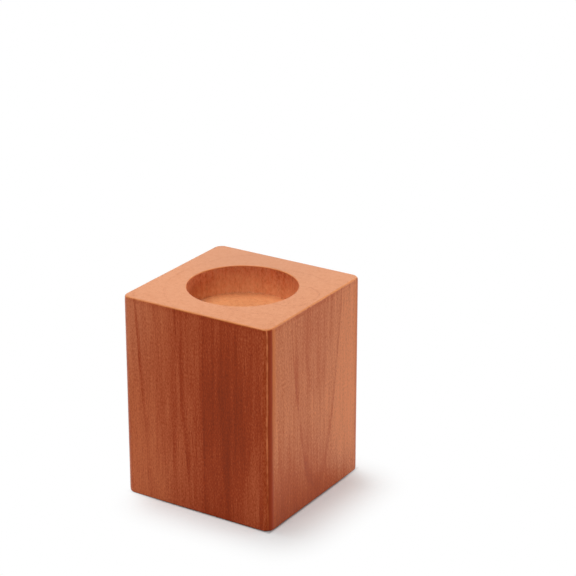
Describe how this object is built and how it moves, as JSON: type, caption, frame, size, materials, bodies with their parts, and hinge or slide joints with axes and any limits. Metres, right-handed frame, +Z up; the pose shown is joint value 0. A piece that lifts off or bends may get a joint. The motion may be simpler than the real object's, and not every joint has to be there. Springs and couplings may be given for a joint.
{
  "type": "bed riser",
  "caption": "Square block of stained hardwood with a round blind recess in its top, set on the floor under a bed leg to raise the bed.",
  "frame": {"origin": "middle of the underside, which stands on the floor", "axes": "+Z up along the recess's axis; +X and +Y square to the upright faces"},
  "size_m": [0.08, 0.08, 0.1],
  "materials": {
    "stained_hardwood": "reddish brown stain under a clear satin coat, grain upright"
  },
  "bodies": {
    "root": {"riser_block": "stained_hardwood"}
  },
  "joints": []
}
